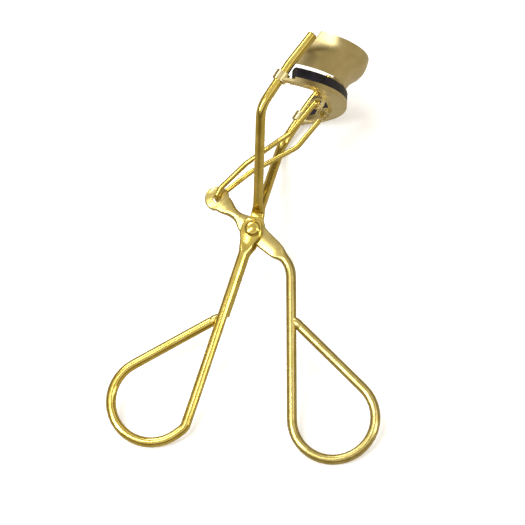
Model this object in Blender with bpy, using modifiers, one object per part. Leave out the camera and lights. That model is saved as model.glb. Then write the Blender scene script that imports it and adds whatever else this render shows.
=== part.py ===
"""Wire eyelash curler, lying on its side on a table.

Two finger loops work like scissors about one rivet.  The fixed handle carries a cage of two side
wires with the upper jaw between their tops.  The moving handle's short arm pushes a wire link,
and the link slides the lower jaw, with its rubber pad, up and down the leaning part of the cage.

The pieces are drawn in the tool's own axes, with the rivet's centre at the origin:
X runs from the fixed handle towards the moving one, Y along the rivet from its front head to its
rear head, and Z from the finger loops up to the jaws.  One empty, tool_axes, then lays the tool
on its rear side with +Z up and the middle of its footprint at the world's origin.
"""

from itertools import pairwise
from math import asin, atan2, ceil, cos, pi, radians, sin, tan

import bmesh
import bpy
from mathutils import Matrix, Vector

MM = 0.001

# Wire sizes
HANDLE_WIRE = 2.4 * MM
CAGE_WIRE = 2.3 * MM
LINK_WIRE = 1.3 * MM

# Clearances
BRAZED_GAP = 0.05 * MM          # between pieces that are brazed or riveted tight
SLIDING_GAP = 0.15 * MM         # between pieces that slide or turn on each other

# Pivot
LAYER_STEP = 1.4 * MM           # from one flattened layer's middle to the next, along Y
LEVER_THICKNESS = 1.1 * MM
PADDLE_THICKNESS = 1.1 * MM
FOOT_THICKNESS = 0.9 * MM
RIVET_DIAMETER = 2.4 * MM
RIVET_HOLE = 2.8 * MM
RIVET_HEAD = 3.9 * MM
RIVET_DOME = 1.15 * MM

# Fixed handle: where its centre line starts, its heading, and its bends as (run, radius, turn)
FIXED_START = (0.29 * MM, 2.36 * MM)
FIXED_HEADING = radians(-104.1)
FIXED_BENDS = ((51.5 * MM, 3.0 * MM, radians(-35.1)), (1.4 * MM, 10.0 * MM, radians(-188.4)))
FIXED_LAST_RUN = 21.5 * MM

# Moving handle: the same, starting beyond the hole of its yoke
YOKE_HOLE_AT = Vector((-9.48 * MM, 0, 7.4 * MM))
YOKE_RADIUS = 3.05 * MM
YOKE_HOLE = 2.1 * MM
MOVING_HEADING = radians(-38.3)
MOVING_BENDS = (
    (9.1 * MM, 7.4 * MM, radians(-46.8)),
    (34.3 * MM, 9.85 * MM, radians(224.0)),
)
MOVING_LAST_RUN = 21.3 * MM

# Cage: side wires at +Y and -Y, closest at the rivet and parallel above their bend
CAGE_HALF_WIDTH = 17.5 * MM
CAGE_LEAN = radians(28.9)       # of the sliding run, from Z towards X
CAGE_TOP_LEAN = radians(33.5)   # of the ends above it, which hold the upper jaw
CAGE_BEND_AT = (2.1 * MM, 25.7 * MM)
CAGE_TOP_BEND_HEIGHT = 36.6 * MM
CAGE_TOP_HEIGHT = 44.1 * MM
CAGE_BEND_RADII = (6.0 * MM, 9.0 * MM)
CAGE_FOOT_TOP = (0.35 * MM, 4.9 * MM)
TAIL_LENGTH = 21.6 * MM         # of the rear wire's tail, brazed behind the fixed handle

# Jaws
JAW_RADIUS = 19.3 * MM          # of the line where the upper jaw meets the pad
UPPER_CENTRE = -0.6 * MM        # that line's centre along X, at the upper jaw's lower edge
UPPER_EDGE_HEIGHT = 36.9 * MM
UPPER_HALF_ANGLE = radians(58.8)
UPPER_SHEET = 0.6 * MM
LOWER_CENTRE = -1.05 * MM
LOWER_TOP = 32.75 * MM          # top face of the lower jaw's plate
LOWER_SHEET = 0.7 * MM
TRAY_HALF_WIDTH = 1.55 * MM
TRAY_WALL = 0.4 * MM
TRAY_DEPTH = 0.55 * MM
TRAY_HALF_ANGLE = radians(58.8)
CRESCENT_INNER_CENTRE = -14.3 * MM
CRESCENT_INNER_RADIUS = 29.5 * MM
SLEEVE_AT = (CAGE_BEND_AT[0] + 7.6 * MM * tan(CAGE_LEAN), CAGE_BEND_AT[1] + 7.6 * MM)
SLEEVE_LENGTH = 2.3 * MM
SLEEVE_WALL = 0.45 * MM
PAD_HEIGHT = 3.25 * MM
PAD_CROWN = 0.6 * MM

# Link
LUG_AT = Vector((13.6 * MM, 0, 30.95 * MM))
LUG_HALF_SPREAD = 5.05 * MM
LUG_RADIUS = 1.7 * MM
LUG_THICKNESS = 0.7 * MM
LUG_HOLE = 2.0 * MM
LINK_HALF_SPREAD = 6.3 * MM
LINK_HOOK_END = 4.3 * MM
LINK_CORNERS = (                # (X, distance from the middle plane, Z) from yoke to lower jaw
    (-8.4 * MM, 2.4 * MM, 9.6 * MM),
    (-2.6 * MM, 3.9 * MM, 15.4 * MM),
    (2.6 * MM, 5.2 * MM, 19.1 * MM),
    (7.8 * MM, 6.3 * MM, 22.7 * MM),
)

# Fineness of curved work
ARC_STEP = radians(9)
WIRE_SIDES = 16
HOLE_SIDES = 32
JAW_STEPS = 36

DEPTH_AXIS = Vector((0, 1, 0))
SLIDE_DIRECTION = Vector((sin(CAGE_LEAN), 0, cos(CAGE_LEAN)))


# ---------------------------------------------------------------- scene and materials

def clear_scene():
    for old in list(bpy.data.objects):
        bpy.data.objects.remove(old, do_unlink=True)


def new_collection(name):
    collection = bpy.data.collections.new(name)
    bpy.context.scene.collection.children.link(collection)
    return collection


def metal(name, colour, roughness):
    material = bpy.data.materials.new(name)
    material.use_nodes = True
    shader = material.node_tree.nodes["Principled BSDF"]
    shader.inputs["Base Color"].default_value = (*colour, 1)
    shader.inputs["Roughness"].default_value = roughness
    shader.inputs["Metallic"].default_value = 1
    return material


def rubber(name, colour, roughness):
    material = metal(name, colour, roughness)
    material.node_tree.nodes["Principled BSDF"].inputs["Metallic"].default_value = 0
    return material


clear_scene()
PARTS = new_collection("eyelash_curler")
CUTTERS = new_collection("cutters")
TOOL_AXES = bpy.data.objects.new("tool_axes", None)
CUTTERS.objects.link(TOOL_AXES)


def place(obj, material, origin=(0, 0, 0)):
    """Hangs a piece on the tool's axes, with its own origin at the given point."""
    origin = Vector(origin)
    obj.data.transform(Matrix.Translation(-origin))
    obj.location = origin
    obj.parent = TOOL_AXES
    obj.data.materials.clear()
    obj.data.materials.append(material)
    PARTS.objects.link(obj)
    return obj


def combine(obj, tool, operation):
    """Joins a helper solid to a piece, or cuts it away."""
    if tool.name not in CUTTERS.objects:
        tool.parent = TOOL_AXES
        tool.hide_render = True
        tool.display_type = "WIRE"
        CUTTERS.objects.link(tool)
    modifier = obj.modifiers.new(tool.name, "BOOLEAN")
    modifier.operation = operation
    modifier.object = tool
    modifier.solver = "EXACT"


# ---------------------------------------------------------------- centre lines

def bend_course(start, heading, bends, last_run):
    """Centre line in the XZ plane of a wire fed and bent in turn, as on a bending jig."""
    point = Vector((start[0], 0, start[1]))
    course = [point.copy()]
    for run, radius, turn in bends:
        point = point + run * Vector((cos(heading), 0, sin(heading)))
        course.append(point.copy())
        side = radius if turn > 0 else -radius
        centre = point + side * Vector((-sin(heading), 0, cos(heading)))
        steps = max(2, ceil(abs(turn) / ARC_STEP))
        for step in range(1, steps + 1):
            angle = heading + turn * step / steps
            course.append(centre - side * Vector((-sin(angle), 0, cos(angle))))
        heading += turn
        point = course[-1]
    course.append(point + last_run * Vector((cos(heading), 0, sin(heading))))
    return course


def rounded_course(corners, radii):
    """Centre line through corner points, each inner corner rounded to its radius."""
    corners = [Vector(corner) for corner in corners]
    course = [corners[0]]
    for before, corner, after, radius in zip(corners, corners[1:], corners[2:], radii):
        inward = (corner - before).normalized()
        outward = (after - corner).normalized()
        turn = inward.angle(outward)
        start = corner - inward * radius * tan(turn / 2)
        centre = corner + (outward - inward).normalized() * radius / cos(turn / 2)
        axis = inward.cross(outward).normalized()
        steps = max(2, ceil(turn / ARC_STEP))
        for step in range(steps + 1):
            course.append(centre + Matrix.Rotation(turn * step / steps, 3, axis) @ (start - centre))
    course.append(corners[-1])
    return course


def course_length(course):
    return sum((b - a).length for a, b in pairwise(course))


def sample_course(course, stops):
    """Points and directions along a centre line at its own points and at the given distances."""
    lengths = [0]
    for a, b in pairwise(course):
        lengths.append(lengths[-1] + (b - a).length)
    own = [s for s in lengths if all(abs(s - stop) > BRAZED_GAP for stop in stops)]
    samples = []
    for distance in sorted(own + list(stops)):
        index = max(i for i in range(len(course) - 1) if lengths[i] <= distance + 1e-9)
        a, b = course[index], course[index + 1]
        ratio = (distance - lengths[index]) / (lengths[index + 1] - lengths[index])
        tangent = (b - a).normalized()
        if ratio < 1e-4 and index > 0:
            tangent = (tangent + (a - course[index - 1]).normalized()).normalized()
        samples.append((distance, a.lerp(b, ratio), tangent))
    return samples


# ---------------------------------------------------------------- solids

def loft(name, rings):
    """A closed solid through rings of equal point counts, capped at both ends."""
    work = bmesh.new()
    loops = [[work.verts.new(point) for point in ring] for ring in rings]
    count = len(rings[0])
    for lower, upper in pairwise(loops):
        for i in range(count):
            j = (i + 1) % count
            work.faces.new((lower[i], lower[j], upper[j], upper[i]))
    work.faces.new(reversed(loops[0]))
    work.faces.new(loops[-1])
    bmesh.ops.recalc_face_normals(work, faces=work.faces)
    mesh = bpy.data.meshes.new(name)
    work.to_mesh(mesh)
    work.free()
    smooth(mesh)
    return bpy.data.objects.new(name, mesh)


def smooth(mesh, angle=radians(38)):
    mesh.shade_smooth()
    mesh.set_sharp_from_angle(angle=angle)


def eased(first, second, steps=5):
    """Sections between two others, easing from one shape to the other."""
    sections = []
    for step in range(steps + 1):
        ratio = step / steps
        ease = ratio * ratio * (3 - 2 * ratio)
        distance = first[0] + (second[0] - first[0]) * ratio
        rest = (a + (b - a) * ease for a, b in zip(first[1:], second[1:]))
        sections.append((distance, *rest))
    return sections


def section_at(sections, distance):
    for low, high in pairwise(sections):
        if distance <= high[0]:
            ratio = (distance - low[0]) / (high[0] - low[0])
            return [a + (b - a) * max(0, ratio) for a, b in zip(low[1:], high[1:])]
    return list(sections[-1][1:])


def forged_wire(name, course, sections):
    """A wire whose section is (distance, width, thickness, depth) at stations along its course.

    Where width equals thickness it is round.  Where it is wider, it has been hammered flat: two
    flat faces across Y, and rounded edges.  Depth moves the wire along Y.
    """
    rings = []
    for distance, centre, tangent in sample_course(course, [s[0] for s in sections]):
        width, thickness, depth = section_at(sections, distance)
        across = tangent.cross(DEPTH_AXIS).normalized()
        through = across.cross(tangent).normalized()
        ring = []
        for side in range(WIRE_SIDES):
            angle = 2 * pi * (side + 0.5) / WIRE_SIDES
            spread = (width - thickness) / 2 * (1 if cos(angle) > 0 else -1)
            ring.append(centre + DEPTH_AXIS * depth
                        + across * (thickness / 2 * cos(angle) + spread)
                        + through * (thickness / 2 * sin(angle)))
        rings.append(ring)
    return loft(name, rings)


def round_wire(name, points, diameter):
    """A round wire along given points, as a beveled curve with closed ends."""
    curve = bpy.data.curves.new(name, "CURVE")
    curve.dimensions = "3D"
    curve.bevel_depth = diameter / 2
    curve.bevel_resolution = 4
    curve.use_fill_caps = True
    curve.render_resolution_u = 0
    spline = curve.splines.new("POLY")
    spline.points.add(len(points) - 1)
    for target, point in zip(spline.points, points):
        target.co = (*point, 1)
    return bpy.data.objects.new(name, curve)


def rod(name, centre, direction, diameter, length, sides=HOLE_SIDES):
    """A plain cylinder, used to bore holes and to build sleeves and lugs."""
    work = bmesh.new()
    turn = Vector(direction).to_track_quat("Z", "Y").to_matrix().to_4x4()
    bmesh.ops.create_cone(work, cap_ends=True, segments=sides, radius1=diameter / 2,
                          radius2=diameter / 2, depth=length,
                          matrix=Matrix.Translation(centre) @ turn)
    mesh = bpy.data.meshes.new(name)
    work.to_mesh(mesh)
    work.free()
    smooth(mesh)
    return bpy.data.objects.new(name, mesh)


def braze_bead(name, course, length):
    """The filler where a loop's end is brazed to its own shank: a drawn-out round bead."""
    run = (course[-1] - course[-2]).normalized()
    centre = course[-1] + run * length * 0.15
    work = bmesh.new()
    bmesh.ops.create_uvsphere(work, u_segments=16, v_segments=12, radius=HANDLE_WIRE * 0.51)
    stretch = Matrix.Diagonal((1, 1, length / HANDLE_WIRE, 1))
    work.transform(Matrix.Translation(centre) @ run.to_track_quat("Z", "Y").to_matrix().to_4x4() @ stretch)
    mesh = bpy.data.meshes.new(name)
    work.to_mesh(mesh)
    work.free()
    smooth(mesh)
    return bpy.data.objects.new(name, mesh)


def bore_pivot(obj):
    cutter = rod(f"pivot_bore_{obj.name}", Vector((0, 0, 0)), DEPTH_AXIS, RIVET_HOLE, 12 * MM)
    combine(obj, cutter, "DIFFERENCE")


# ---------------------------------------------------------------- handles

def end_of(diameter, thickness, depth, distance, inwards):
    """Two sections that round off a wire's cut end."""
    chamfer = 0.3 * MM
    return [(distance, diameter - 2 * chamfer, thickness - 2 * chamfer, depth),
            (distance + inwards * chamfer, diameter, thickness, depth)]


def make_frame_handle(material):
    """Fixed finger loop, shank, and the front paddle that the rivet passes through."""
    course = bend_course(FIXED_START, FIXED_HEADING, FIXED_BENDS, FIXED_LAST_RUN)
    total = course_length(course)
    depth = -LAYER_STEP
    flat = PADDLE_THICKNESS
    wire = HANDLE_WIRE
    pivot = 2.4 * MM
    sections = [
        (0, 3.2 * MM, flat - 0.3 * MM, depth),
        (0.25 * MM, 3.9 * MM, flat, depth),
        *eased((0.9 * MM, 4.5 * MM, flat, depth), (pivot, 5.3 * MM, flat, depth), 3),
        *eased((pivot + 1.2 * MM, 5.2 * MM, flat, depth), (pivot + 3.6 * MM, 3.6 * MM, flat, depth), 4),
        *eased((pivot + 3.9 * MM, 3.4 * MM, flat, depth), (pivot + 6.4 * MM, wire, wire, depth), 4),
        (34 * MM, wire, wire, depth * 0.3),
        (46 * MM, wire, wire, 0),
        *reversed(end_of(wire, wire, 0, total, -1)),
    ]
    handle = place(forged_wire("frame_handle", course, sections), material)
    combine(handle, braze_bead("fixed_loop_bead", course, 4.0 * MM), "UNION")
    bore_pivot(handle)
    return handle


def make_lever_handle(material):
    """Moving finger loop, its flattened plate on the rivet, and the yoke that drives the link."""
    heading = Vector((cos(MOVING_HEADING), 0, sin(MOVING_HEADING)))
    start = YOKE_HOLE_AT - heading * YOKE_RADIUS
    reach = YOKE_RADIUS + YOKE_HOLE_AT.length
    first_run, *others = MOVING_BENDS
    bends = ((first_run[0] + reach, *first_run[1:]), *others)
    course = bend_course((start.x, start.z), MOVING_HEADING, bends, MOVING_LAST_RUN)
    total = course_length(course)
    flat = LEVER_THICKNESS
    wire = HANDLE_WIRE
    yoke = [(YOKE_RADIUS * (1 - cos(angle)), max(2 * YOKE_RADIUS * sin(angle), flat + 0.3 * MM), flat, 0)
            for angle in (radians(a) for a in (12, 24, 36, 50, 66, 90, 114))]
    neck = reach - 6.1 * MM
    sections = [
        *yoke,
        *eased((yoke[-1][0] + 0.5 * MM, 4.6 * MM, flat, 0), (neck, wire, 2.2 * MM, 0), 4),
        *eased((neck + 0.6 * MM, wire, 2.2 * MM, 0), (reach - 2.2 * MM, 4.7 * MM, flat, 0), 4),
        *eased((reach - 1.2 * MM, 5.1 * MM, flat, 0), (reach + 1.2 * MM, 5.1 * MM, flat, 0), 2),
        *eased((reach + 3.0 * MM, 4.5 * MM, flat, 0), (reach + 6.6 * MM, 4.1 * MM, flat, 0), 3),
        *eased((reach + 7.2 * MM, 3.9 * MM, flat, 0), (reach + 10.4 * MM, wire, wire, 0), 5),
        *reversed(end_of(wire, wire, 0, total, -1)),
    ]
    lever = place(forged_wire("lever_handle", course, sections), material)
    combine(lever, braze_bead("moving_loop_bead", course, 5.0 * MM), "UNION")
    bore_pivot(lever)
    combine(lever, rod("yoke_bore", YOKE_HOLE_AT, DEPTH_AXIS, YOKE_HOLE, 12 * MM), "DIFFERENCE")
    return lever


# ---------------------------------------------------------------- cage

def cage_corners(side, foot_depth):
    """Corner points of a side wire's centre line, from its foot's top to its upper end."""
    bend_x, bend_z = CAGE_BEND_AT
    foot_x, foot_z = CAGE_FOOT_TOP
    across = side * CAGE_HALF_WIDTH
    top_bend_x = bend_x + (CAGE_TOP_BEND_HEIGHT - bend_z) * tan(CAGE_LEAN)
    top_x = top_bend_x + (CAGE_TOP_HEIGHT - CAGE_TOP_BEND_HEIGHT) * tan(CAGE_TOP_LEAN)
    return [
        (foot_x, foot_depth, foot_z),
        (bend_x, across, bend_z),
        (top_bend_x, across, CAGE_TOP_BEND_HEIGHT),
        (top_x, across, CAGE_TOP_HEIGHT),
    ]


def make_front_cage_wire(material):
    """Front side wire: a flattened foot behind the lever, then out to the front and up."""
    depth = LAYER_STEP
    foot_end = 2.5 * MM
    wire = CAGE_WIRE
    course = rounded_course([(0, depth, -foot_end), *cage_corners(-1, depth)], [3.2 * MM, *CAGE_BEND_RADII])
    total = course_length(course)
    flat = FOOT_THICKNESS
    sections = [
        (0, 2.4 * MM, flat - 0.2 * MM, 0),
        (0.3 * MM, 3.4 * MM, flat, 0),
        (1.1 * MM, 4.5 * MM, flat, 0),
        (foot_end, 4.9 * MM, flat, 0),
        *eased((foot_end + 1.3 * MM, 4.6 * MM, flat, 0), (foot_end + 3.4 * MM, 3.3 * MM, flat, 0), 3),
        *eased((foot_end + 3.8 * MM, 3.2 * MM, flat, 0), (foot_end + 7.6 * MM, wire, wire, 0), 5),
        *reversed(end_of(wire, wire, 0, total, -1)),
    ]
    cage = place(forged_wire("cage_wire_front", course, sections), material)
    bore_pivot(cage)
    return cage


def make_rear_cage_wire(material):
    """Rear side wire: its tail is brazed behind the fixed handle's shank, below its foot."""
    depth = 2 * LAYER_STEP
    wire = CAGE_WIRE
    tail_depth = -LAYER_STEP + (HANDLE_WIRE + wire) / 2 + 2 * BRAZED_GAP
    down = Vector((cos(FIXED_HEADING), 0, sin(FIXED_HEADING)))
    shank_start = Vector((FIXED_START[0], 0, FIXED_START[1]))
    tail_top = shank_start + down * 7.6 * MM + DEPTH_AXIS * depth
    tail_end = shank_start + down * (TAIL_LENGTH + 2.4 * MM) + DEPTH_AXIS * depth
    corners = [tail_end, tail_top, (-0.3 * MM, depth, 0.6 * MM), *cage_corners(1, depth)]
    course = rounded_course(corners, [8 * MM, 5 * MM, 3.2 * MM, *CAGE_BEND_RADII])
    total = course_length(course)
    flat = FOOT_THICKNESS
    at_rivet = TAIL_LENGTH
    shift = tail_depth - depth
    far_shift = shift + 0.55 * MM
    sections = [
        (0, wire - 0.6 * MM, wire - 0.6 * MM, far_shift),
        (0.3 * MM, wire, wire, far_shift),
        (4 * MM, wire, wire, far_shift),
        (at_rivet - 8.4 * MM, wire, wire, shift + 0.1 * MM),
        *eased((at_rivet - 6.4 * MM, wire, wire, shift), (at_rivet - 2.9 * MM, 3.6 * MM, flat, 0), 5),
        (at_rivet - 1.3 * MM, 4.7 * MM, flat, 0),
        (at_rivet, 4.9 * MM, flat, 0),
        *eased((at_rivet + 1.3 * MM, 4.6 * MM, flat, 0), (at_rivet + 3.4 * MM, 3.3 * MM, flat, 0), 3),
        *eased((at_rivet + 3.8 * MM, 3.2 * MM, flat, 0), (at_rivet + 7.6 * MM, wire, wire, 0), 5),
        *reversed(end_of(wire, wire, 0, total, -1)),
    ]
    cage = place(forged_wire("cage_wire_rear", course, sections), material)
    bore_pivot(cage)
    return cage


def make_rivet(material):
    """Domed rivet through all four layers, turned as one profile about Y."""
    front = -LAYER_STEP - PADDLE_THICKNESS / 2 - BRAZED_GAP
    rear = 2 * LAYER_STEP + FOOT_THICKNESS / 2 + BRAZED_GAP
    shank, head = RIVET_DIAMETER / 2, RIVET_HEAD / 2
    dome_steps = 6
    front_dome = [(head * cos(pi / 2 * i / dome_steps), front - 0.2 * MM - (RIVET_DOME - 0.2 * MM)
                   * sin(pi / 2 * i / dome_steps)) for i in range(dome_steps, -1, -1)]
    rear_dome = [(head * 0.9 * cos(pi / 2 * i / dome_steps), rear + 0.2 * MM + 0.5 * MM
                  * sin(pi / 2 * i / dome_steps)) for i in range(dome_steps + 1)]
    profile = [*front_dome, (head, front), (shank, front), (shank, rear), (head * 0.9, rear), *rear_dome]
    work = bmesh.new()
    points = [work.verts.new((0 if radius < 1e-9 else radius, depth, 0)) for radius, depth in profile]
    for a, b in pairwise(points):
        work.edges.new((a, b))
    bmesh.ops.spin(work, geom=work.verts[:] + work.edges[:], cent=(0, 0, 0), axis=(0, 1, 0),
                   angle=2 * pi, steps=28, use_merge=True)
    bmesh.ops.remove_doubles(work, verts=work.verts, dist=0.001 * MM)
    bmesh.ops.recalc_face_normals(work, faces=work.faces)
    mesh = bpy.data.meshes.new("pivot_rivet")
    work.to_mesh(mesh)
    work.free()
    smooth(mesh)
    return place(bpy.data.objects.new("pivot_rivet", mesh), material)


# ---------------------------------------------------------------- jaws

def make_upper_jaw(material):
    """Curved sheet between the side wires: it leans with them and flares into a rolled rim."""
    flare = (                       # (height above the lower edge, how far it stands out)
        (0, 0), (1.5 * MM, 0), (2.7 * MM, 0), (3.1 * MM, 0.2 * MM), (3.5 * MM, 0.7 * MM),
        (4.0 * MM, 1.2 * MM), (4.8 * MM, 1.4 * MM), (5.8 * MM, 1.2 * MM), (6.9 * MM, 0.8 * MM),
        (7.9 * MM, 0.3 * MM),
    )
    work = bmesh.new()
    rows = []
    for step in range(JAW_STEPS + 1):
        angle = UPPER_HALF_ANGLE * (2 * step / JAW_STEPS - 1)
        middle = cos(angle * pi / 2 / UPPER_HALF_ANGLE)
        row = []
        for distance, out in flare:
            radius = JAW_RADIUS + out * (0.15 + 0.85 * middle)
            height = distance * (1.05 - 0.1 * middle)
            lean = height * tan(CAGE_TOP_LEAN)
            row.append(work.verts.new((UPPER_CENTRE + lean + radius * cos(angle), radius * sin(angle),
                                       UPPER_EDGE_HEIGHT + height)))
        rows.append(row)
    for first, second in pairwise(rows):
        for i in range(len(flare) - 1):
            work.faces.new((first[i], second[i], second[i + 1], first[i + 1]))
    bmesh.ops.recalc_face_normals(work, faces=work.faces)
    mesh = bpy.data.meshes.new("upper_jaw")
    work.to_mesh(mesh)
    work.free()
    smooth(mesh)
    jaw = place(bpy.data.objects.new("upper_jaw", mesh), material)
    shell = jaw.modifiers.new("sheet", "SOLIDIFY")
    shell.thickness = UPPER_SHEET
    shell.offset = 0
    shell.use_even_offset = True
    return jaw


def arc_sweep(name, profile, half_angle, steps=JAW_STEPS):
    """A solid swept along the jaw's arc from a profile of (out from the arc, height) points."""
    rings = []
    for step in range(steps + 1):
        angle = half_angle * (2 * step / steps - 1)
        rings.append([Vector((LOWER_CENTRE + (JAW_RADIUS + out) * cos(angle),
                              (JAW_RADIUS + out) * sin(angle), height)) for out, height in profile])
    return loft(name, rings)


def crescent():
    """The lower jaw's plate: wide in the middle and narrow at its ends."""
    outer_radius = JAW_RADIUS + TRAY_HALF_WIDTH - BRAZED_GAP
    outer_end = radians(67.5)
    inner_end = asin((CAGE_HALF_WIDTH - 1.3 * MM) / CRESCENT_INNER_RADIUS)
    sleeve_x = SLEEVE_AT[0] + 0.9 * MM
    sleeve_y = CAGE_HALF_WIDTH - 1.1 * MM
    outline = []
    for step in range(JAW_STEPS + 1):
        angle = outer_end * (2 * step / JAW_STEPS - 1)
        outline.append((LOWER_CENTRE + outer_radius * cos(angle), outer_radius * sin(angle)))
    outline.append((sleeve_x, sleeve_y))
    for step in range(JAW_STEPS + 1):
        angle = inner_end * (1 - 2 * step / JAW_STEPS)
        outline.append((CRESCENT_INNER_CENTRE + CRESCENT_INNER_RADIUS * cos(angle),
                        CRESCENT_INNER_RADIUS * sin(angle)))
    outline.append((sleeve_x, -sleeve_y))
    rings = [[Vector((x, y, height)) for x, y in outline] for height in (LOWER_TOP - LOWER_SHEET, LOWER_TOP)]
    return loft("crescent_plate", rings)


def lug(label, side):
    """A tab bent down from the plate's inner edge, with a round end for the link's hook."""
    plate_end = (LUG_AT.x + 2.5 * MM, LOWER_TOP - LOWER_SHEET / 2)
    outline = [plate_end]
    for degrees in range(120, 361, 20):
        angle = radians(degrees)
        outline.append((LUG_AT.x + LUG_RADIUS * cos(angle), LUG_AT.z + LUG_RADIUS * sin(angle)))
    middle = side * LUG_HALF_SPREAD
    faces = (middle - LUG_THICKNESS / 2, middle + LUG_THICKNESS / 2)
    return loft(f"lug_{label}", [[Vector((x, depth, z)) for x, z in outline] for depth in faces])


def make_lower_jaw(material):
    """Stamped crescent with a shallow tray for the pad, guide sleeves at its ends and two lugs."""
    half, wall = TRAY_HALF_WIDTH, TRAY_WALL
    floor = LOWER_TOP - 0.1 * MM
    rim = LOWER_TOP + TRAY_DEPTH
    base = LOWER_TOP - LOWER_SHEET + 0.1 * MM
    tray = ((half, base), (half, rim), (half - wall, rim), (half - wall, floor),
            (wall - half, floor), (wall - half, rim), (-half, rim), (-half, base))
    jaw = crescent()
    jaw.name = "lower_jaw"
    place(jaw, material, (SLEEVE_AT[0], 0, SLEEVE_AT[1]))
    combine(jaw, arc_sweep("pad_tray", tray, TRAY_HALF_ANGLE), "UNION")
    bore = CAGE_WIRE + 2 * SLIDING_GAP
    sleeve_diameter = bore + 2 * SLEEVE_WALL
    sides = (("front", -1), ("rear", 1))
    for label, side in sides:
        centre = Vector((SLEEVE_AT[0], side * CAGE_HALF_WIDTH, SLEEVE_AT[1]))
        sleeve = rod(f"sleeve_{label}", centre, SLIDE_DIRECTION, sleeve_diameter, SLEEVE_LENGTH)
        combine(jaw, sleeve, "UNION")
        combine(jaw, lug(label, side), "UNION")
    for label, side in sides:
        centre = Vector((SLEEVE_AT[0], side * CAGE_HALF_WIDTH, SLEEVE_AT[1]))
        combine(jaw, rod(f"sleeve_bore_{label}", centre, SLIDE_DIRECTION, bore, 12 * MM), "DIFFERENCE")
    lug_bore = rod("lug_bore", LUG_AT, DEPTH_AXIS, LUG_HOLE, 2 * LUG_HALF_SPREAD + 4 * MM)
    combine(jaw, lug_bore, "DIFFERENCE")
    return jaw


def make_pad(material):
    """Rubber strip with a crowned top, seated in the lower jaw's tray."""
    half = TRAY_HALF_WIDTH - TRAY_WALL - BRAZED_GAP
    proud = half + 0.4 * MM
    seat = LOWER_TOP + BRAZED_GAP
    rim = LOWER_TOP + TRAY_DEPTH + BRAZED_GAP
    shoulder = LOWER_TOP + PAD_HEIGHT - PAD_CROWN
    crown = [(proud * cos(radians(a)), shoulder + PAD_CROWN * sin(radians(a))) for a in range(0, 181, 20)]
    profile = [(half, seat), (half, rim), (proud, rim), *crown, (-proud, rim), (-half, rim), (-half, seat)]
    pad = arc_sweep("lash_pad", profile, TRAY_HALF_ANGLE - radians(1))
    return place(pad, material, (SLEEVE_AT[0], 0, SLEEVE_AT[1]))


def make_link(material):
    """One wire through the yoke's hole, its two legs hooked into the lower jaw's lugs."""
    exit_y = 1.9 * MM
    leg = [(YOKE_HOLE_AT.x, exit_y, YOKE_HOLE_AT.z), *LINK_CORNERS,
           (LUG_AT.x, LINK_HALF_SPREAD, LUG_AT.z), (LUG_AT.x, LINK_HOOK_END, LUG_AT.z)]
    front = [(x, -y, z) for x, y, z in reversed(leg)]
    radii = [radius * MM for radius in (1.0, 2.5, 5.0, 5.0, 4.0, 1.0)]
    course = rounded_course([*front, *leg], [*reversed(radii), *radii])
    curve = round_wire("link_curve", course, LINK_WIRE)
    CUTTERS.objects.link(curve)
    bpy.context.view_layer.update()
    evaluated = curve.evaluated_get(bpy.context.evaluated_depsgraph_get())
    mesh = bpy.data.meshes.new_from_object(evaluated)
    bpy.data.objects.remove(curve, do_unlink=True)
    work = bmesh.new()
    work.from_mesh(mesh)
    bmesh.ops.remove_doubles(work, verts=work.verts, dist=0.001 * MM)
    bmesh.ops.recalc_face_normals(work, faces=work.faces)
    work.to_mesh(mesh)
    work.free()
    smooth(mesh)
    return place(bpy.data.objects.new("link_wire", mesh), material, YOKE_HOLE_AT)


# ---------------------------------------------------------------- assembly

def lay_on_table():
    """Turns the tool onto its rear side, resting on both loops and the rear wire's bend."""
    drop = CAGE_HALF_WIDTH + CAGE_WIRE / 2 - HANDLE_WIRE / 2
    span = CAGE_BEND_AT[1] + 54.6 * MM
    TOOL_AXES.rotation_euler = (-(pi / 2 - atan2(drop, span)), 0, 0)
    bpy.context.view_layer.update()
    graph = bpy.context.evaluated_depsgraph_get()
    corners = []
    for piece in PARTS.objects:
        solid = piece.evaluated_get(graph)
        corners += [solid.matrix_world @ vertex.co for vertex in solid.data.vertices]
    low = [min(point[axis] for point in corners) for axis in range(3)]
    high = [max(point[axis] for point in corners) for axis in range(3)]
    TOOL_AXES.location = (-(low[0] + high[0]) / 2, -(low[1] + high[1]) / 2, -low[2])


def build():
    bright = metal("bright_gold", (0.83, 0.62, 0.24), 0.16)
    satin = metal("satin_gold", (0.72, 0.58, 0.28), 0.26)
    black = rubber("black_rubber", (0.02, 0.018, 0.024), 0.55)
    make_frame_handle(bright)
    make_lever_handle(bright.copy())
    make_front_cage_wire(bright.copy())
    make_rear_cage_wire(bright.copy())
    make_rivet(bright.copy())
    make_upper_jaw(satin)
    make_lower_jaw(satin.copy())
    make_link(satin.copy())
    make_pad(black)
    lay_on_table()


build()
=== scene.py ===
"""A gold eyelash curler lying on a white table, seen from above its finger loops."""

from math import radians

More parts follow.
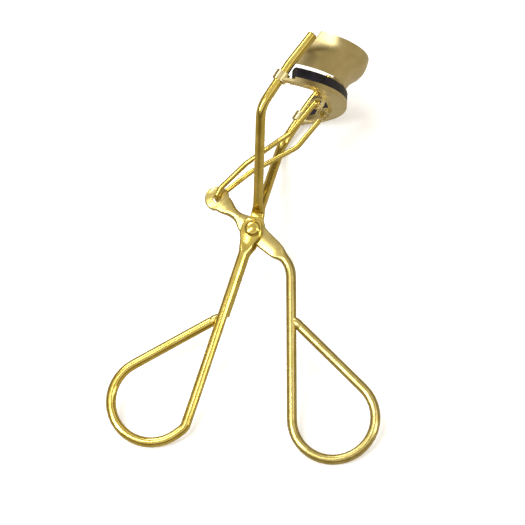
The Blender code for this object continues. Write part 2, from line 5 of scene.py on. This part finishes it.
import bpy
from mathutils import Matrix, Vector

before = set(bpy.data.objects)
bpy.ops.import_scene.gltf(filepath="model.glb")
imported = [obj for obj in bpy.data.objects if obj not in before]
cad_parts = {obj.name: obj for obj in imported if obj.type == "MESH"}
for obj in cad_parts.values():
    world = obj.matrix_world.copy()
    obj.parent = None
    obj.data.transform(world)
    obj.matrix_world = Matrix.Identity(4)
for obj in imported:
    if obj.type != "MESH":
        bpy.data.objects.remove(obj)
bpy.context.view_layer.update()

# Each gold: its dark tone, its bright tone, smoothest, roughest, patches per metre.
POLISHED = ((0.62, 0.46, 0.09), (0.82, 0.65, 0.18), 0.13, 0.24, 300)
HAMMERED = ((0.50, 0.39, 0.12), (0.68, 0.56, 0.22), 0.22, 0.34, 520)
SATIN = ((0.60, 0.50, 0.24), (0.74, 0.62, 0.32), 0.20, 0.30, 240)
GOLD_OF = {
    "frame_handle": POLISHED,
    "cage_wire_front": POLISHED,
    "cage_wire_rear": POLISHED,
    "pivot_rivet": POLISHED,
    "link_wire": POLISHED,
    "lever_handle": HAMMERED,
    "upper_jaw": SATIN,
    "lower_jaw": SATIN,
}
MARKS_PER_PATCH = 14  # fine draw marks in the plating

WELD_GAP = 0.000002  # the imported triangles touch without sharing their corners
REAL_EDGE = radians(35)  # a sharper turn than this stays a crisp edge

FLOOR_SIZE = 6
FLOOR_DROP = 0.0001  # keeps the table just clear of the loops that lie on it
FLOOR_GLOW = 0.3

# Each softbox: its name, place, width, height and power. All are aimed at the object.
SOFTBOXES = (
    ("key", (-0.5, -0.3, 0.85), 0.16, 0.9, 5.5),
    ("top", (-0.45, 0.6, 0.7), 0.5, 0.22, 3.5),
    ("rim", (0.8, -0.15, 0.6), 0.14, 0.9, 2.6),
)

# The room's colour from the horizon (0) to straight up (1).
ROOM = (
    (0.0, (0.50, 0.44, 0.32)),
    (0.25, (0.10, 0.07, 0.03)),
    (0.5, (0.30, 0.24, 0.15)),
    (0.62, (1.05, 1.0, 0.92)),
    (0.8, (0.85, 0.82, 0.75)),
    (0.9, (0.6, 0.55, 0.45)),
    (1.0, (0.75, 0.72, 0.66)),
)

CAMERA_PLACE = (0.11075, -0.29701, 0.63518)
CAMERA_TURN = (0.44893, 0.12090, 0.11078)
LENS_MM = 201.1
SENSOR_MM = 36


def blank_material(name):
    material = bpy.data.materials.new(name)
    material.use_nodes = True
    tree = material.node_tree
    return material, tree, tree.nodes["Principled BSDF"]


def add_noise(tree, scale, detail):
    """Noise fixed to the piece's own coordinates."""
    place = tree.nodes.new("ShaderNodeTexCoord")
    noise = tree.nodes.new("ShaderNodeTexNoise")
    noise.inputs["Scale"].default_value = scale
    noise.inputs["Detail"].default_value = detail
    tree.links.new(place.outputs["Object"], noise.inputs["Vector"])
    return noise


def add_tone(tree, noise, shader, low, high, start=0.3, end=0.7):
    """The base colour drifts between two tones with a noise."""
    ramp = tree.nodes.new("ShaderNodeValToRGB")
    ramp.color_ramp.elements[0].position = start
    ramp.color_ramp.elements[1].position = end
    ramp.color_ramp.elements[0].color = (*low, 1)
    ramp.color_ramp.elements[1].color = (*high, 1)
    tree.links.new(noise.outputs["Fac"], ramp.inputs["Fac"])
    tree.links.new(ramp.outputs["Color"], shader.inputs["Base Color"])


def add_polish(tree, noise, shader, low, high):
    """The roughness drifts from low to high with a noise."""
    spread = tree.nodes.new("ShaderNodeMapRange")
    spread.inputs["To Min"].default_value = low
    spread.inputs["To Max"].default_value = high
    tree.links.new(noise.outputs["Fac"], spread.inputs["Value"])
    tree.links.new(spread.outputs["Result"], shader.inputs["Roughness"])


def add_bump(tree, noise, shader, distance, strength):
    bump = tree.nodes.new("ShaderNodeBump")
    bump.inputs["Distance"].default_value = distance
    bump.inputs["Strength"].default_value = strength
    tree.links.new(noise.outputs["Fac"], bump.inputs["Height"])
    tree.links.new(bump.outputs["Normal"], shader.inputs["Normal"])


def gold(name, dark, bright, smoothest, roughest, patches):
    """Thin gold plate: tone and polish drift over a few millimetres, with fine draw marks."""
    material, tree, shader = blank_material(name)
    shader.inputs["Metallic"].default_value = 1
    drift = add_noise(tree, patches, 3)
    marks = add_noise(tree, patches * MARKS_PER_PATCH, 2)
    add_tone(tree, drift, shader, dark, bright)
    add_polish(tree, drift, shader, roughest, smoothest)
    add_bump(tree, marks, shader, 0.00002, 0.25)
    return material


def rubber(name):
    """Black rubber; the faint violet in its base colour is a painted sheen."""
    material, tree, shader = blank_material(name)
    drift = add_noise(tree, 500, 4)
    # the violet-black tone that the noise drifts towards is a painted sheen
    add_tone(tree, drift, shader, (0.004, 0.004, 0.006), (0.016, 0.013, 0.024))
    add_polish(tree, drift, shader, 0.38, 0.56)
    shader.inputs["Specular IOR Level"].default_value = 0.22
    add_bump(tree, drift, shader, 0.00003, 0.3)
    return material


def smooth_shading():
    """A node group that sets stored normals aside and shades every face smooth."""
    tree = bpy.data.node_groups.new("smooth_shading", "GeometryNodeTree")
    for way in ("INPUT", "OUTPUT"):
        tree.interface.new_socket("Geometry", in_out=way, socket_type="NodeSocketGeometry")
    set_aside = tree.nodes.new("GeometryNodeRemoveAttribute")
    set_aside.inputs["Name"].default_value = "custom_normal"
    smooth = tree.nodes.new("GeometryNodeSetShadeSmooth")
    start = tree.nodes.new("NodeGroupInput")
    end = tree.nodes.new("NodeGroupOutput")
    tree.links.new(start.outputs[0], set_aside.inputs[0])
    tree.links.new(set_aside.outputs[0], smooth.inputs[0])
    tree.links.new(smooth.outputs[0], end.inputs[0])
    return tree


def dress(node, material, shading):
    """Gives a node its material, and shades it round except at its real edges.
    It works by modifiers alone, so the node's own mesh stays as packed."""
    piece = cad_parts[node]
    for slot in piece.material_slots:
        slot.material = material
    piece.modifiers.new("smooth", "NODES").node_group = shading
    piece.modifiers.new("weld", "WELD").merge_threshold = WELD_GAP
    piece.modifiers.new("real_edges", "EDGE_SPLIT").split_angle = REAL_EDGE


def dress_pieces():
    shading = smooth_shading()
    for node, finish in GOLD_OF.items():
        dress(node, gold(f"{node}_gold", *finish), shading)
    dress("lash_pad", rubber("lash_pad_rubber"), shading)


def make_floor():
    """A white table top with a faint gloss; the metal reflects the studio instead of it."""
    material, tree, shader = blank_material("white_table")
    drift = add_noise(tree, 6, 2)
    add_tone(tree, drift, shader, (0.93, 0.93, 0.925), (0.95, 0.95, 0.95))
    shader.inputs["Roughness"].default_value = 0.22
    shader.inputs["Specular IOR Level"].default_value = 0.12
    shader.inputs["Emission Color"].default_value = (1, 1, 1, 1)
    shader.inputs["Emission Strength"].default_value = FLOOR_GLOW
    bpy.ops.mesh.primitive_plane_add(size=FLOOR_SIZE, location=(0, 0, -FLOOR_DROP))
    floor = bpy.context.object
    floor.name = "table"
    floor.data.materials.append(material)
    floor.visible_glossy = False


def add_softbox(name, place, width, height, power):
    """A rectangular soft light aimed at the object."""
    light = bpy.data.lights.new(name, "AREA")
    light.shape = "RECTANGLE"
    light.size = width
    light.size_y = height
    light.energy = power
    lamp = bpy.data.objects.new(name, light)
    lamp.location = place
    lamp.rotation_euler = (-Vector(place)).to_track_quat("-Z", "Y").to_euler()
    bpy.context.scene.collection.objects.link(lamp)


def light_room():
    """A warm room with a dark band low on its walls and a bright band above it."""
    world = bpy.data.worlds.new("studio")
    bpy.context.scene.world = world
    world.use_nodes = True
    tree = world.node_tree
    place = tree.nodes.new("ShaderNodeTexCoord")
    split = tree.nodes.new("ShaderNodeSeparateXYZ")
    ramp = tree.nodes.new("ShaderNodeValToRGB")
    stops = ramp.color_ramp.elements
    stops[0].color = (*ROOM[0][1], 1)
    stops[1].color = (*ROOM[-1][1], 1)
    for height, colour in ROOM[1:-1]:
        stops.new(height).color = (*colour, 1)
    tree.links.new(place.outputs["Generated"], split.inputs["Vector"])
    tree.links.new(split.outputs["Z"], ramp.inputs["Fac"])
    tree.links.new(ramp.outputs["Color"], tree.nodes["Background"].inputs["Color"])


def set_camera():
    camera = bpy.data.cameras.new("camera")
    camera.sensor_width = SENSOR_MM
    camera.lens = LENS_MM
    eye = bpy.data.objects.new("camera", camera)
    eye.location = CAMERA_PLACE
    eye.rotation_euler = CAMERA_TURN
    bpy.context.scene.collection.objects.link(eye)
    bpy.context.scene.camera = eye
    bpy.context.scene.view_settings.view_transform = "Standard"


dress_pieces()
make_floor()
for softbox in SOFTBOXES:
    add_softbox(*softbox)
light_room()
set_camera()
